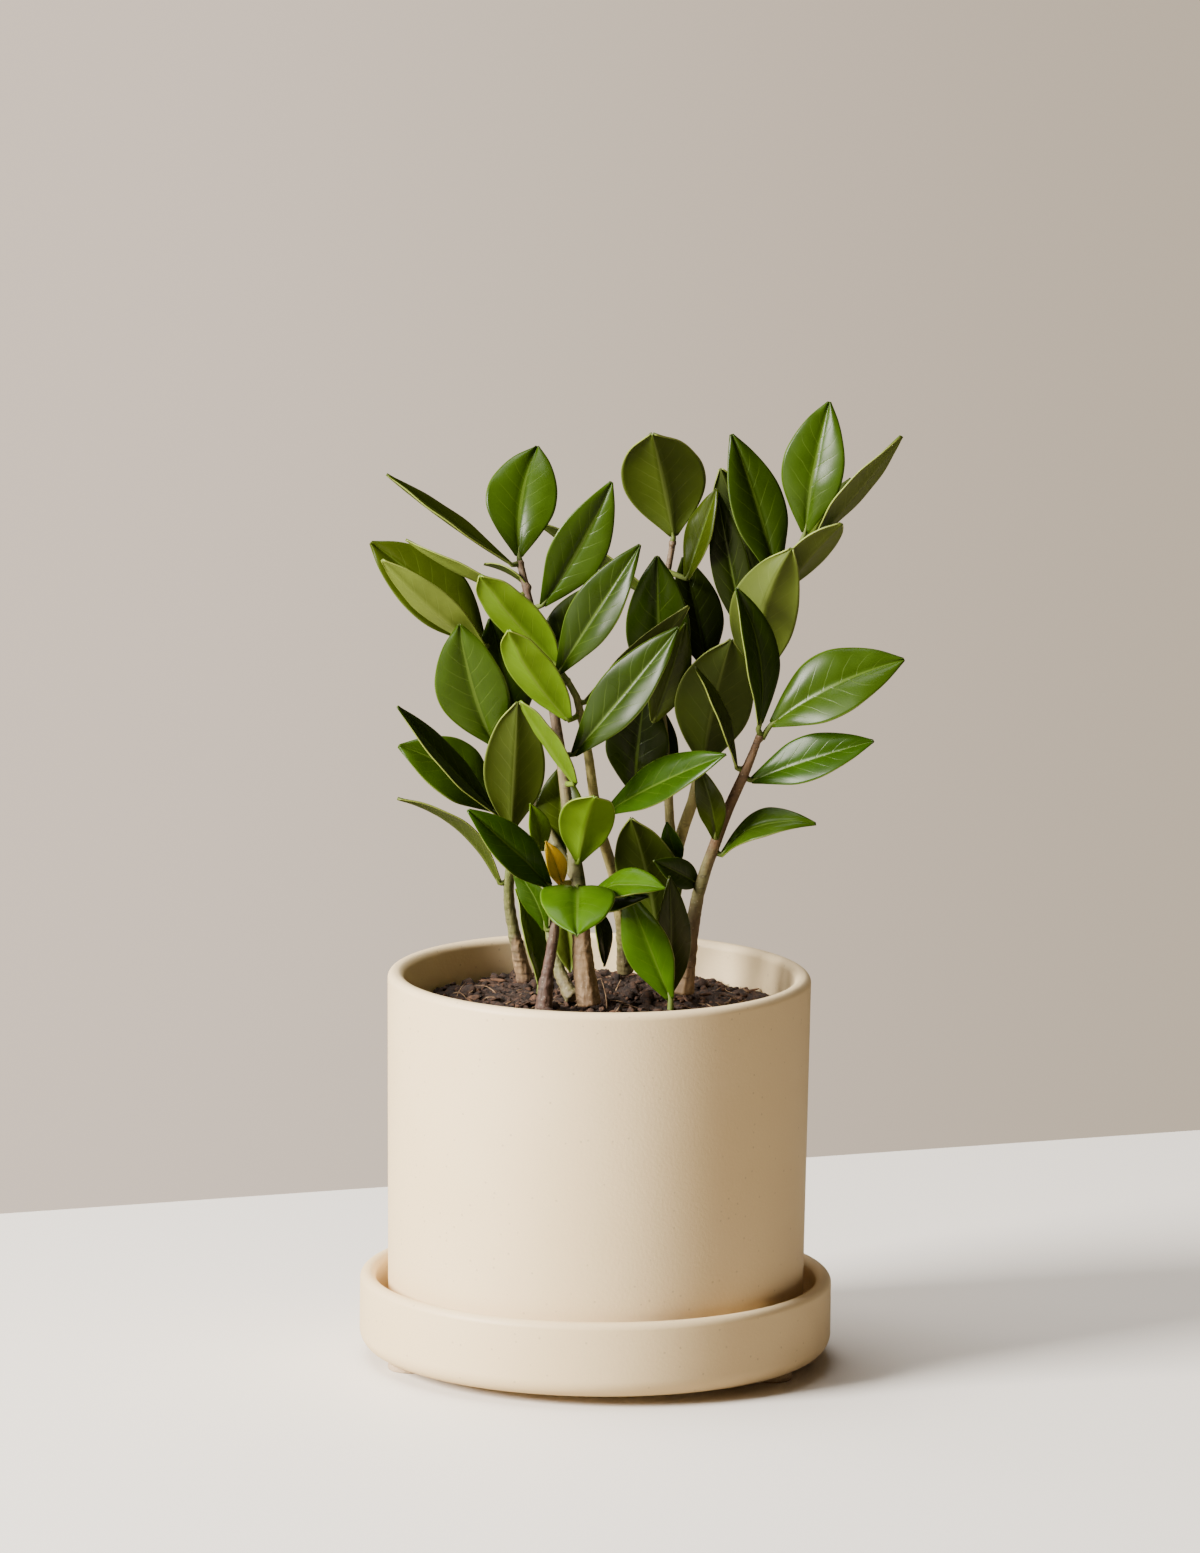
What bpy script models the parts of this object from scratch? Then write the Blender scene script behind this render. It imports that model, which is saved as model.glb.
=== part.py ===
"""Potted ZZ plant: stems and leaflets in potting mix, in a round pot on a padded saucer.

Units are metres and +Z is up. The front of the plant faces -Y. The origin is the centre of
the saucer's flat underside, on the axis of the pot. Lengths below are written in millimetres
and turned into metres as each mesh is made.
"""
import math

import bmesh
import bpy
from mathutils import Vector

MM = 0.001
GAP = 0.3

# Driving dimensions of the holder, in millimetres.
POT_RADIUS = 65.0
POT_FOOT_RADIUS = 63.8
POT_WALL = 5.0
POT_FLOOR = 6.0
POT_HEIGHT = 111.7
DRAIN_RADIUS = 5.0
SAUCER_RADIUS = 72.6
SAUCER_WALL = 4.8
SAUCER_FLOOR = 6.0
SAUCER_HEIGHT = 24.0
BASE_DISC_RADIUS = 24.0
BASE_STEP = 0.3
PAD_RADIUS = 7.0
PAD_HEIGHT = 2.8
PAD_CIRCLE = 60.0
HEADSPACE = 13.0
SOIL_MOUND = 4.0
ROUND_STEPS = 40

POT_BASE = SAUCER_FLOOR + GAP
POT_RIM = POT_BASE + POT_HEIGHT
SOIL_EDGE = POT_RIM - HEADSPACE

# A leaflet blade: cells along and across it, its thickness, and the share that is its stalk.
BLADE_LENGTH_CELLS = 6
BLADE_WIDTH_CELLS = 4
BLADE_THICKNESS = 0.9
STALK_SHARE = 0.07
STALK_HALF_WIDTH = 0.9
TIP_HALF_WIDTH = 0.35

STEM_SIDES_STEP = 2
STEM_POINTS_PER_SPAN = 2

# Colours, roughness and metallic value of each finish.
FINISHES = {
    "cream_glaze": ((0.78, 0.72, 0.62), 0.45, 0.0),
    "felt": ((0.58, 0.44, 0.30), 0.95, 0.0),
    "potting_mix": ((0.035, 0.022, 0.015), 0.95, 0.0),
    "stem_bark": ((0.22, 0.15, 0.08), 0.70, 0.0),
    "leaf_dark": ((0.035, 0.075, 0.015), 0.32, 0.0),
    "leaf_green": ((0.075, 0.16, 0.02), 0.36, 0.0),
    "leaf_lime": ((0.25, 0.38, 0.05), 0.45, 0.0),
}

# Centre line of each stem as (x, y, z, radius), from the mix upwards. A branch is a second
# line that grows out of the first one, and makes one piece with it.
STEMS = {
    "stem_left": [
        [(-23, 30, 0, 2.6), (-25, 28, 118, 2.1), (-28, 25, 133, 1.8), (-28, 20, 145, 1.6),
         (-26, 14, 160, 1.2)],
    ],
    "stem_front_left": [
        [(-17, -15, 0, 2.6), (-16, -14, 120, 1.9), (-14, -13, 133, 1.6), (-14, -12, 144, 1.3)],
    ],
    "stem_front_leaning": [
        [(-8, -4, 0, 2.4), (-12, 1, 117, 2.0), (-15, 5, 128, 1.7), (-17, 9, 140, 1.4),
         (-19, 12, 150, 1.1)],
    ],
    "stem_centre": [
        [(-3, -10, 0, 3.8), (-5, -9, 122, 3.2), (-6, -8, 136, 2.8), (-7, -6, 148, 2.4),
         (-10, -3, 166, 1.9), (-13, 0, 188, 1.7), (-18, 4, 214, 1.5), (-23, 8, 232, 1.3),
         (-26, 10, 244, 1.1)],
        [(-7, -5, 147, 1.6), (-12, 1, 154, 1.6), (-17, 8, 162, 1.5), (-22, 14, 173, 1.4),
         (-27, 16, 187, 1.3), (-31, 16, 202, 1.2), (-35, 15, 220, 1.0)],
    ],
    "stem_rear": [
        [(8, 46, 0, 2.6), (7, 38, 124, 2.2), (4, 26, 144, 1.9), (-1, 12, 162, 1.7),
         (-4, 1, 184, 1.5), (-8, -3, 204, 1.2), (-12, -5, 210, 1.0)],
    ],
    "stem_right": [
        [(26, 13, 0, 3.2), (27, 12, 120, 2.6), (30, 9, 141, 2.0), (35, 4, 158, 1.8),
         (39, 0, 170, 1.7), (43, -4, 180, 1.6), (46, -6, 188, 1.3), (48, -7, 194, 1.1)],
    ],
    "stem_rear_right": [
        [(20, 26, 0, 2.8), (21, 22, 130, 2.3), (23, 18, 152, 2.0), (28, 14, 169, 1.8),
         (31, 13, 182, 1.7), (41, 12, 210, 1.5), (48, 10, 226, 1.4), (56, 7, 241, 1.2),
         (60, 5, 251, 1.0)],
        [(23, 19, 150, 1.4), (21, 21, 162, 1.5), (20, 22, 180, 1.4), (18, 22, 196, 1.3),
         (16, 22, 214, 1.2), (18, 22, 230, 1.1), (21, 22, 249, 1.0)],
    ],
}

# Each leaflet: its name, its foot, its tip (x, y, z), its width, the way its upper side looks
# (x, y, z), how far its middle rises from the straight line between foot and tip and how far it
# sways across, the fold of each half in degrees, how blunt its tip is, and its finish. A foot
# is the height on the stem where the leaflet grows, or the point (x, y, z) where it starts.
LEAFLETS = {
    ("stem_left", 0): [
        ("left_upright", 160, (-26, -10, 204), 19, (0, 10, 4), -2, 0, 9, 0.4, "leaf_green"),
        ("left_low", 141, (-63, 8, 170), 14, (6, 4, 7), 5, 0, 12, 0.0, "leaf_dark"),
        ("left_dark", (-31, 17, 163), (-63, 2, 200), 13, (7, -4, 5), -1, 0, 12, 0.0,
         "leaf_dark"),
        ("left_glossy", (-33, 22, 164), (-63, 16, 185), 20, (-1, -8, 7), 3, -2, 10, 0.1,
         "leaf_green"),
    ],
    ("stem_front_left", 0): [
        ("front_broad", (-15, -14, 147), (-41, -25, 173), 14, (-1, -8, 7), 3, 1, 10, 0.1,
         "leaf_dark"),
        ("front_narrow", 133, (-27, -13, 153), 9, (-6, -7, 3), 0, -2, 12, 0.0, "leaf_dark"),
    ],
    ("stem_front_leaning", 0): [
        ("inner_young", (-18, 14, 111), (-26, 16, 141), 10, (8, -7, 2), 1, 0, 22, 0.0,
         "leaf_lime"),
    ],
    ("stem_centre", 0): [
        ("crown_left_tip", 245, (-21, 27, 277), 22, (0, -8, 5), 3, 2, 9, 0.2, "leaf_green"),
        ("crown_left_long", 243, (-67, 0, 272), 15, (6, -1, 8), -1, 0, 15, 0.0, "leaf_dark"),
        ("crown_left_inner", (-19, 3, 231), (2, -2, 271), 17, (2, -10, 3), 2, -1, 12, 0.0,
         "leaf_green"),
        ("left_pale", 234, (-61, 6, 251), 12, (4, 4, 9), -2, 0, 12, 0.0, "leaf_lime"),
        ("young_upper", (-14, -2, 214), (-38, -18, 244), 17, (3, 8, 5), 1, -2, 12, 0.8,
         "leaf_lime"),
        ("young_middle", (-10, -5, 197), (-29, -22, 228), 16, (3, 8, 5), 1, -3, 12, 0.8,
         "leaf_lime"),
        ("young_lower", (-8, -8, 178), (-25, -20, 206), 12, (8, 6, 3), 0, -1, 14, 0.7,
         "leaf_lime"),
        ("front_round", 153, (-2, -29, 178), 17, (0, 8, 6), 3, 0, 12, 0.8, "leaf_lime"),
        ("front_drooping", 146, (-7, -42, 137), 23, (0, -3, 10), 4, 0, 6, 0.8, "leaf_green"),
        ("front_right_bright", 143, (20, -20, 148), 14, (0, -5, 8), 3, 0, 10, 0.1,
         "leaf_green"),
    ],
    ("stem_centre", 1): [
        ("left_spread", 218, (-72, 12, 249), 20, (1, -9, 3), 2, -1, 10, 0.3, "leaf_dark"),
        ("left_lime", (-36, 6, 217), (-68, -8, 247), 14, (3, 8, 6), -2, 0, 18, 0.1,
         "leaf_lime"),
        ("left_round", (-33, 6, 187), (-44, -5, 227), 23, (-3, -10, 1), 2, 1, 8, 0.3,
         "leaf_green"),
        ("left_behind_round", 190, (-35, 12, 226), 19, (3, -10, 2), 2, 0, 8, 0.2,
         "leaf_green"),
    ],
    ("stem_rear", 0): [
        ("centre_glossy", (-14, -8, 212), (11, -16, 254), 16, (-3, -10, 4), 3, -1, 14, 0.0,
         "leaf_dark"),
        ("centre_bright", 166, (38, -20, 190), 15, (-2, -8, 6), 2, 0, 10, 0.0, "leaf_green"),
        ("centre_long", (-9, -9, 187), (23, -18, 229), 17, (-3, -9, 4), 2, -1, 12, 0.0,
         "leaf_dark"),
        ("centre_olive", 202, (26, -8, 234), 10, (6, 3, 8), -2, 1, 12, 0.0, "leaf_dark"),
    ],
    ("stem_right", 0): [
        ("mix_bright", (22, -8, 111), (8, -10, 146), 16, (-5, -8, 3), 2, -1, 12, 0.0,
         "leaf_green"),
        ("right_oval", (35, 0, 160), (29, -6, 184), 9, (-3, -9, 3), 2, -2, 10, 0.2,
         "leaf_green"),
        ("right_low", 155, (66, -6, 166), 12, (-2, -6, 8), 5, 2, 10, 0.0, "leaf_dark"),
        ("right_thin", 182, (28, -14, 216), 10, (9, -3, 4), 1, 0, 14, 0.0, "leaf_dark"),
        ("right_wide_low", 180, (83, -16, 194), 15, (0, -8, 5), 2, 0, 10, 0.0, "leaf_green"),
        ("right_dark_oval", (48, -9, 197), (40, -10, 240), 13, (6, -8, 1), 2, -3, 12, 0.1, "leaf_dark"),
        ("right_wide_high", (51, -8, 197), (92, -14, 219), 22, (-1, -8, 5), 4, 1, 9, 0.1,
         "leaf_green"),
    ],
    ("stem_rear_right", 0): [
        ("lower_olive", 124, (9, 2, 166), 21, (3, 10, 2), 3, 0, 8, 0.2, "leaf_green"),
        ("right_olive", (31, 9, 181), (39, -4, 223), 24, (0, 10, 2), 0, -1, 8, 0.3,
         "leaf_green"),
        ("upper_shade", (44, 14, 219), (34, 14, 266), 12, (-2, -10, 1), 2, 0, 10, 0.0,
         "leaf_dark"),
        ("upper_behind", (47, 18, 237), (35, 27, 271), 18, (0, 10, 2), 2, 0, 10, 0.0,
         "leaf_dark"),
        ("crown_right_dark", 238, (38, 12, 284), 17, (2, -10, 2), 1, -1, 10, 0.0,
         "leaf_dark"),
        ("crown_right_tip", (61, 5, 254), (68, 8, 295), 20, (-3, -10, 3), 3, 0, 9, 0.1,
         "leaf_green"),
        ("crown_right_long", (63, 2, 251), (90, -9, 287), 16, (-6, 5, 6), 0, 0, 5, 0.0,
         "leaf_green"),
        ("crown_right_blunt", 237, (72, -10, 260), 15, (-4, 7, 6), 1, 0, 10, 0.7,
         "leaf_green"),
        ("right_lime", (47, 3, 207), (57, -8, 252), 21, (2, 10, 1), -1, -4, 22, 0.2,
         "leaf_lime"),
    ],
    ("stem_rear_right", 1): [
        ("crown_centre_tip", 250, (14, 2, 285), 26, (0, 9, 5), 3, 0, 9, 0.5, "leaf_dark"),
        ("crown_centre_dark", (25, 14, 238), (34, 11, 267), 12, (-6, -6, 4), 0, 0, 14, 0.0,
         "leaf_dark"),
        ("crown_behind", 230, (-22, 27, 254), 12, (4, 6, 8), 0, 0, 10, 0.0, "leaf_dark"),
        ("inner_dark_left", 202, (16, 6, 247), 20, (-1, -10, 2), 2, 0, 10, 0.2,
         "leaf_dark"),
        ("inner_dark_right", (32, 19, 209), (24, 23, 244), 16, (2, -10, 1), 2, 0, 10, 0.1,
         "leaf_dark"),
        ("inner_dark_low", (10, 19, 170), (13, 18, 203), 20, (-2, -10, 1), 2, 0, 10, 0.1,
         "leaf_dark"),
    ],
}


def clear_scene():
    for thing in list(bpy.data.objects):
        bpy.data.objects.remove(thing, do_unlink=True)


def finish(name):
    """The material of one finish, made once."""
    material = bpy.data.materials.get(name)
    if material:
        return material
    colour, roughness, metallic = FINISHES[name]
    material = bpy.data.materials.new(name)
    material.use_nodes = True
    shader = material.node_tree.nodes["Principled BSDF"]
    shader.inputs["Base Color"].default_value = (*colour, 1.0)
    shader.inputs["Roughness"].default_value = roughness
    shader.inputs["Metallic"].default_value = metallic
    return material


def add_object(name, mesh, finish_name):
    """Put a mesh drawn in millimetres into the scene as a named piece in metres."""
    for vertex in mesh.vertices:
        vertex.co *= MM
    mesh.materials.clear()
    mesh.materials.append(finish(finish_name))
    mesh.shade_smooth()
    mesh.set_sharp_from_angle(angle=math.radians(50))
    piece = bpy.data.objects.new(name, mesh)
    bpy.context.scene.collection.objects.link(piece)
    return piece


def turned(name, profile, finish_name, steps=ROUND_STEPS):
    """A round piece: a closed profile of (radius, height) points spun about the Z axis."""
    shape = bmesh.new()
    corners = [shape.verts.new((radius, 0.0, height)) for radius, height in profile]
    edges = [shape.edges.new(pair) for pair in zip(corners, corners[1:] + corners[:1])]
    bmesh.ops.spin(shape, geom=corners + edges, cent=(0, 0, 0), axis=(0, 0, 1),
                   angle=math.tau, steps=steps, use_merge=True)
    bmesh.ops.remove_doubles(shape, verts=shape.verts, dist=0.001)
    bmesh.ops.recalc_face_normals(shape, faces=shape.faces)
    mesh = bpy.data.meshes.new(name)
    shape.to_mesh(mesh)
    shape.free()
    return add_object(name, mesh, finish_name)


def arc(centre, radius, start, end, steps):
    """Points (radius, height) on an arc, from one angle to another in degrees."""
    points = []
    for step in range(steps + 1):
        angle = math.radians(start + (end - start) * step / steps)
        points.append((centre[0] + radius * math.cos(angle),
                       centre[1] + radius * math.sin(angle)))
    return points


def pot_inner_radius(height):
    """Radius of the pot's inner wall at a height."""
    share = (height - POT_BASE) / POT_HEIGHT
    return POT_FOOT_RADIUS + (POT_RADIUS - POT_FOOT_RADIUS) * share - POT_WALL


def make_pot():
    """A gently tapered pot with a rounded lip, a rounded foot and a drain hole."""
    lip = POT_WALL / 2
    foot_round = 4.0
    inner_round = 5.0
    floor_top = POT_BASE + POT_FLOOR
    profile = [(DRAIN_RADIUS, POT_BASE)]
    profile += arc((POT_FOOT_RADIUS - foot_round, POT_BASE + foot_round), foot_round, -90, 0, 4)
    profile += arc((POT_RADIUS - lip, POT_RIM - lip), lip, 0, 180, 6)
    profile += arc((pot_inner_radius(floor_top) - inner_round, floor_top + inner_round),
                   inner_round, 0, -90, 3)
    profile += [(DRAIN_RADIUS, floor_top)]
    return turned("pot", profile, "cream_glaze")


def make_saucer():
    """A straight-sided saucer; a disc in the middle of its underside stands a little proud."""
    lip = SAUCER_WALL / 2
    foot_round = 6.0
    inner_round = 3.0
    inner_radius = SAUCER_RADIUS - SAUCER_WALL
    profile = [(BASE_DISC_RADIUS, 0.0), (BASE_DISC_RADIUS + BASE_STEP, BASE_STEP)]
    profile += arc((SAUCER_RADIUS - foot_round, BASE_STEP + foot_round), foot_round, -90, 0, 5)
    profile += arc((SAUCER_RADIUS - lip, SAUCER_HEIGHT - lip), lip, 0, 180, 6)
    profile += arc((inner_radius - inner_round, SAUCER_FLOOR + inner_round),
                   inner_round, 0, -90, 3)
    profile += [(BASE_DISC_RADIUS, SAUCER_FLOOR)]
    shape = bmesh.new()
    corners = [shape.verts.new((radius, 0.0, height)) for radius, height in profile]
    edges = [shape.edges.new(pair) for pair in zip(corners, corners[1:])]
    bmesh.ops.spin(shape, geom=corners + edges, cent=(0, 0, 0), axis=(0, 0, 1),
                   angle=math.tau, steps=ROUND_STEPS, use_merge=True)
    bmesh.ops.remove_doubles(shape, verts=shape.verts, dist=0.001)
    rims = [edge for edge in shape.edges if edge.is_boundary]
    bmesh.ops.holes_fill(shape, edges=rims, sides=ROUND_STEPS)
    bmesh.ops.recalc_face_normals(shape, faces=shape.faces)
    mesh = bpy.data.meshes.new("saucer")
    shape.to_mesh(mesh)
    shape.free()
    return add_object("saucer", mesh, "cream_glaze")


def make_pads():
    """Three stuck-on pads under the saucer, as one finds them: not quite evenly spaced."""
    for name, angle in (("pad_left", 200), ("pad_right", 333), ("pad_back", 85)):
        shape = bmesh.new()
        bmesh.ops.create_cone(shape, cap_ends=True, segments=16, radius1=PAD_RADIUS,
                              radius2=PAD_RADIUS, depth=PAD_HEIGHT)
        turn = math.radians(angle)
        place = Vector((PAD_CIRCLE * math.cos(turn), PAD_CIRCLE * math.sin(turn),
                        BASE_STEP - GAP - PAD_HEIGHT / 2))
        bmesh.ops.translate(shape, verts=shape.verts, vec=place)
        mesh = bpy.data.meshes.new(name)
        shape.to_mesh(mesh)
        shape.free()
        add_object(name, mesh, "felt")


def soil_height(x, y):
    """Height of the potting mix, a low mound that stands a little higher at the back."""
    outer = pot_inner_radius(SOIL_EDGE)
    share = min(1.0, math.hypot(x, y) / outer)
    return SOIL_EDGE + SOIL_MOUND * (1 - share * share) + 1.5 * y / outer


def make_soil():
    """The potting mix: it fills the pot from the floor to its mounded top."""
    floor_top = POT_BASE + POT_FLOOR + GAP
    corner = 6.0
    shape = bmesh.new()
    rings = []
    bottom = [(pot_inner_radius(floor_top) - corner, floor_top),
              (pot_inner_radius(floor_top + corner) - GAP - 0.1, floor_top + corner)]
    for radius, height in bottom:
        ring = bmesh.ops.create_circle(shape, segments=ROUND_STEPS, radius=radius)["verts"]
        bmesh.ops.translate(shape, verts=ring, vec=(0, 0, height))
        rings.append(ring)
    outer = pot_inner_radius(SOIL_EDGE) - GAP - 0.1
    for share in (1.0, 0.78, 0.5, 0.22):
        ring = bmesh.ops.create_circle(shape, segments=ROUND_STEPS, radius=outer * share)["verts"]
        for vertex in ring:
            vertex.co.z = soil_height(vertex.co.x, vertex.co.y)
        rings.append(ring)
    loops = [list({edge for vertex in ring for edge in vertex.link_edges}) for ring in rings]
    for lower, upper in zip(loops, loops[1:]):
        bmesh.ops.bridge_loops(shape, edges=lower + upper)
    bmesh.ops.holes_fill(shape, edges=[edge for edge in shape.edges if edge.is_boundary],
                         sides=ROUND_STEPS)
    bmesh.ops.triangulate(shape, faces=[face for face in shape.faces if len(face.verts) > 4])
    bmesh.ops.recalc_face_normals(shape, faces=shape.faces)
    mesh = bpy.data.meshes.new("potting_mix")
    shape.to_mesh(mesh)
    shape.free()
    return add_object("potting_mix", mesh, "potting_mix")


def smooth_line(points):
    """A smooth line of (x, y, z, radius) through hand-placed points, Catmull-Rom fashion."""
    ends = [points[0]] + points + [points[-1]]
    line = []
    for index in range(len(points) - 1):
        before, start, end, after = ends[index:index + 4]
        for step in range(STEM_POINTS_PER_SPAN):
            t = step / STEM_POINTS_PER_SPAN
            line.append(tuple(
                0.5 * (2 * b + (c - a) * t + (2 * a - 5 * b + 4 * c - d) * t * t
                       + (3 * b - a - 3 * c + d) * t * t * t)
                for a, b, c, d in zip(before, start, end, after)))
    line.append(points[-1])
    return line


def planted(points):
    """Stand the first point of a stem on the potting mix, clear of its slope."""
    x, y, height, radius = points[0]
    if height:
        return points
    lean = math.hypot(points[1][0] - x, points[1][1] - y) / (points[1][2] - SOIL_EDGE)
    stand = soil_height(x, y) + GAP + radius * (0.1 + min(lean, 1.0))
    return [(x, y, stand, radius)] + points[1:]


def tube_mesh(name, line):
    """A closed tapering tube along a line of (x, y, z, radius)."""
    curve = bpy.data.curves.new(name, "CURVE")
    curve.dimensions = "3D"
    curve.bevel_depth = 1.0
    curve.bevel_resolution = STEM_SIDES_STEP
    curve.use_fill_caps = True
    spline = curve.splines.new("POLY")
    spline.points.add(len(line) - 1)
    for point, (x, y, z, radius) in zip(spline.points, line):
        point.co = (x, y, z, 1.0)
        point.radius = radius
    guide = bpy.data.objects.new(name + "_guide", curve)
    bpy.context.scene.collection.objects.link(guide)
    seen = guide.evaluated_get(bpy.context.evaluated_depsgraph_get())
    mesh = bpy.data.meshes.new_from_object(seen)
    bpy.data.objects.remove(guide, do_unlink=True)
    shape = bmesh.new()
    shape.from_mesh(mesh)
    bmesh.ops.remove_doubles(shape, verts=shape.verts, dist=0.001)
    bmesh.ops.recalc_face_normals(shape, faces=shape.faces)
    shape.to_mesh(mesh)
    shape.free()
    return mesh


def make_stem(name, lines):
    """One stem; its branch, if it has one, is united with it."""
    stem = add_object(name, tube_mesh(name, lines[0]), "stem_bark")
    for line in lines[1:]:
        branch = add_object(name + "_branch", tube_mesh(name + "_branch", line), "stem_bark")
        branch.hide_render = True
        branch.display_type = "WIRE"
        union = stem.modifiers.new("branch", "BOOLEAN")
        union.operation = "UNION"
        union.solver = "EXACT"
        union.object = branch
    return stem


def point_at_height(line, height):
    """Where a stem's centre line is at a height: the point, its direction and its radius."""
    for low, high in zip(line, line[1:]):
        if low[2] <= height <= high[2]:
            share = (height - low[2]) / (high[2] - low[2])
            place = [a + (b - a) * share for a, b in zip(low, high)]
            along = Vector(high[:3]) - Vector(low[:3])
            return Vector(place[:3]), along.normalized(), place[3]
    along = Vector(line[-1][:3]) - Vector(line[-2][:3])
    return Vector(line[-1][:3]), along.normalized(), 0.0


def half_width(share, width, blunt):
    """Half the width of a leaflet at a share of its length."""
    if share <= STALK_SHARE:
        return STALK_HALF_WIDTH
    along = (share - STALK_SHARE) / (1 - STALK_SHARE)
    power = 0.85 - 0.40 * blunt
    outline = max(0.0, math.sin(math.pi * along ** 0.86)) ** power
    least = STALK_HALF_WIDTH if share < 0.5 else TIP_HALF_WIDTH
    return max(least, width / 2 * outline)


def leaflet_start(line, foot, tip):
    """Where a leaflet starts: at a given point, or beside the stem at a given height."""
    if isinstance(foot, tuple):
        return Vector(foot)
    root, along_stem, radius = point_at_height(line, foot)
    if not radius:
        return root + along_stem * 0.8
    run = (tip - root).normalized()
    side = run - along_stem * run.dot(along_stem)
    return root + side.normalized() * (radius + BLADE_THICKNESS / 2 + GAP + 0.25)


def make_leaflet(name, line, growth):
    """One leaflet: a grid bent into a folded, arched blade and given its thickness."""
    foot, tip, width, facing, arch, sway, fold, blunt, finish_name = growth
    tip = Vector(tip)
    start = leaflet_start(line, foot, tip)
    run = (tip - start).normalized()
    up = Vector(facing)
    up = (up - run * up.dot(run)).normalized()
    across = up.cross(run)
    shape = bmesh.new()
    bmesh.ops.create_grid(shape, x_segments=BLADE_WIDTH_CELLS, y_segments=BLADE_LENGTH_CELLS,
                          size=1.0)
    tangent_fold = math.tan(math.radians(fold))
    for vertex in shape.verts:
        share = (vertex.co.y + 1) / 2
        share = share ** 0.9
        side_share = vertex.co.x
        half = half_width(share, width, blunt)
        bow = 4 * share * (1 - share)
        rise = arch * bow + abs(side_share) * half * tangent_fold
        spread = sway * bow + side_share * half
        vertex.co = start + (tip - start) * share + across * spread + up * rise
    bmesh.ops.recalc_face_normals(shape, faces=shape.faces)
    mesh = bpy.data.meshes.new(name)
    shape.to_mesh(mesh)
    shape.free()
    leaflet = add_object(name, mesh, finish_name)
    thickness = leaflet.modifiers.new("thickness", "SOLIDIFY")
    thickness.thickness = BLADE_THICKNESS * MM
    thickness.offset = 0.0
    return leaflet


def make_plant():
    """Every stem with its leaflets."""
    lines = {}
    for name, routes in STEMS.items():
        smooth = [smooth_line(planted(route)) for route in routes]
        make_stem(name, smooth)
        for index, line in enumerate(smooth):
            lines[name, index] = line
    for key, leaflets in LEAFLETS.items():
        for name, *growth in leaflets:
            make_leaflet("leaflet_" + name, lines[key], growth)


clear_scene()
make_pot()
make_saucer()
make_pads()
make_soil()
make_plant()
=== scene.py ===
# %% [markdown]
# # A potted ZZ plant
# The solid model gives every stem, leaflet, pot, saucer and pad its place and size. This
# lesson keeps those places and gives each piece the surface of the real thing: waxy
# leaflets with veins, ringed stems, a crumbly potting mix and a speckled stoneware pot.
# Everything is in metres; lengths in the code are millimetres times MM.

# %% Load the solid model
import math
import random

import bmesh
import bpy
from mathutils import Matrix, Vector, noise
from mathutils.bvhtree import BVHTree


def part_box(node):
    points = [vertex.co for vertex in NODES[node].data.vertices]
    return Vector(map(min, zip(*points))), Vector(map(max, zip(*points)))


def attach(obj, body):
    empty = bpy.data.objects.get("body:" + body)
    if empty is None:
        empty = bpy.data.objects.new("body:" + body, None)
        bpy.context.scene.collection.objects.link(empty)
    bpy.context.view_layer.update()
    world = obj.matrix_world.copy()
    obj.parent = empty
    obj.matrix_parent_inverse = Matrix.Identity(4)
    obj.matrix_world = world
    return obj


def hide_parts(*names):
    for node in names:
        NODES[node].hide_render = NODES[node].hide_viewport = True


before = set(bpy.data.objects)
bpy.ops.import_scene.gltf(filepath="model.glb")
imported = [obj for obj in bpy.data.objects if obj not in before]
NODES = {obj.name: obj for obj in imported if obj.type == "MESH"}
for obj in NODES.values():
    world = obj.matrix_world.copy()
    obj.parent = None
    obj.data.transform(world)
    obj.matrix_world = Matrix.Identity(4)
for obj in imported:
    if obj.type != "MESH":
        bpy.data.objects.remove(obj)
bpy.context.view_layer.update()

MM = 0.001
print("pieces in the solid model:", len(NODES))

# %% [markdown]
# ## Small helpers
# A finished piece is a mesh whose vertices are already in place, so its object stays at the
# origin. One helper turns a bmesh into such a piece, lets it ride on the plant's one body,
# gives it its materials, and hides the solid it stands for. Another passes a bmesh
# through modifiers, for the blades, the stems and the potting mix.

# %% Helpers for pieces


def add_piece(name, shape, materials, stands_for=()):
    """Turn a bmesh into a finished piece of the plant."""
    mesh = bpy.data.meshes.new(name)
    shape.to_mesh(mesh)
    shape.free()
    for material in materials:
        mesh.materials.append(material)
    mesh.shade_smooth()
    piece = bpy.data.objects.new(name, mesh)
    bpy.context.scene.collection.objects.link(piece)
    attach(piece, "root")
    if stands_for:
        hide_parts(*stands_for)
    return piece


def merged_copy(node):
    """A bmesh copy of a solid with its loose triangles merged."""
    shape = bmesh.new()
    shape.from_mesh(NODES[node].data)
    bmesh.ops.remove_doubles(shape, verts=shape.verts, dist=0.002 * MM)
    return shape


def after_modifiers(name, shape, modifiers, materials=()):
    """The shape as it is after its modifiers, which are (kind, settings) pairs."""
    mesh = bpy.data.meshes.new(name)
    shape.to_mesh(mesh)
    shape.free()
    for material in materials:
        mesh.materials.append(material)
    holder = bpy.data.objects.new(name, mesh)
    bpy.context.scene.collection.objects.link(holder)
    for kind, settings in modifiers:
        modifier = holder.modifiers.new(kind.lower(), kind)
        for key, value in settings.items():
            setattr(modifier, key, value)
    seen = holder.evaluated_get(bpy.context.evaluated_depsgraph_get())
    made = bpy.data.meshes.new_from_object(seen)
    bpy.data.objects.remove(holder, do_unlink=True)
    shape = bmesh.new()
    shape.from_mesh(made)
    return shape


def turn_faces(shape, up):
    """Turn the faces of a sheet round if they look away from the given direction."""
    shape.normal_update()
    if sum(face.normal.dot(up) for face in shape.faces) < 0:
        bmesh.ops.reverse_faces(shape, faces=shape.faces)


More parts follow.
